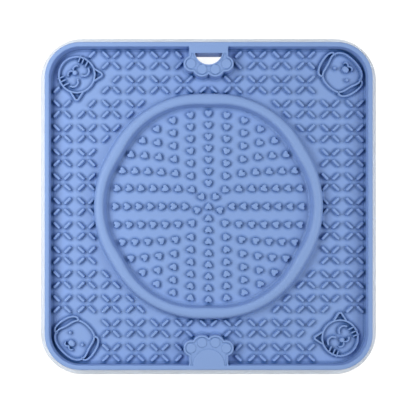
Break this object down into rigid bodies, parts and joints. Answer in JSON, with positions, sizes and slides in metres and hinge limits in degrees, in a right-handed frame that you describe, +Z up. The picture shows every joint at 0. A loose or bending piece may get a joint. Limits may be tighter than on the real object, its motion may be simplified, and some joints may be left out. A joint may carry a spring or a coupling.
{
  "type": "lick mat",
  "caption": "Square silicone lick mat with a raised lobed bowl ring, heart nubs, crossed ribs, line-drawn cat and dog faces, a hanging tab and suction cups underneath.",
  "frame": {"origin": "middle of the mat on the plane that the suction cups stand on", "axes": "+Z up from the surface to the licking side, +Y towards the side with the hanging hole, +X to the right seen from above"},
  "size_m": [0.2, 0.2, 0.013],
  "materials": {
    "silicone_blue": "matte silicone",
    "silicone_pale": "matte translucent silicone"
  },
  "bodies": {
    "root": {"base_sheet": "silicone_blue", "bowl_floor": "silicone_blue", "bowl_ring": "silicone_blue", "cat_ears_back_left": "silicone_blue", "cat_ears_front_right": "silicone_blue", "cat_features_back_left": "silicone_blue", "cat_features_front_right": "silicone_blue", "cat_head_back_left": "silicone_blue", "cat_head_front_right": "silicone_blue", "cat_whiskers_back_left": "silicone_blue", "cat_whiskers_front_right": "silicone_blue", "cross_ribs_back": "silicone_blue", "cross_ribs_front": "silicone_blue", "cross_ribs_left": "silicone_blue", "cross_ribs_right": "silicone_blue", "dog_ears_back_right": "silicone_blue", "dog_ears_front_left": "silicone_blue", "dog_features_back_right": "silicone_blue", "dog_features_front_left": "silicone_blue", "dog_head_back_right": "silicone_blue", "dog_head_front_left": "silicone_blue", "edge_skirt": "silicone_pale", "hanging_tab": "silicone_blue", "hanging_tab_toe_pads": "silicone_blue", "heart_nub_centre": "silicone_blue", "heart_nubs_ring_1": "silicone_blue", "heart_nubs_ring_2": "silicone_blue", "heart_nubs_ring_3": "silicone_blue", "heart_nubs_ring_4": "silicone_blue", "heart_nubs_ring_5": "silicone_blue", "heart_nubs_ring_6": "silicone_blue", "heart_nubs_ring_7": "silicone_blue", "heart_nubs_ring_8": "silicone_blue", "outer_rim": "silicone_blue", "paw_tab": "silicone_blue", "paw_tab_palm_pad": "silicone_blue", "paw_tab_toe_pads": "silicone_blue", "suction_cup_1": "silicone_blue", "suction_cup_10": "silicone_blue", "suction_cup_11": "silicone_blue", "suction_cup_12": "silicone_blue", "suction_cup_13": "silicone_blue", "suction_cup_14": "silicone_blue", "suction_cup_15": "silicone_blue", "suction_cup_16": "silicone_blue", "suction_cup_2": "silicone_blue", "suction_cup_3": "silicone_blue", "suction_cup_4": "silicone_blue", "suction_cup_5": "silicone_blue", "suction_cup_6": "silicone_blue", "suction_cup_7": "silicone_blue", "suction_cup_8": "silicone_blue", "suction_cup_9": "silicone_blue"}
  },
  "joints": []
}
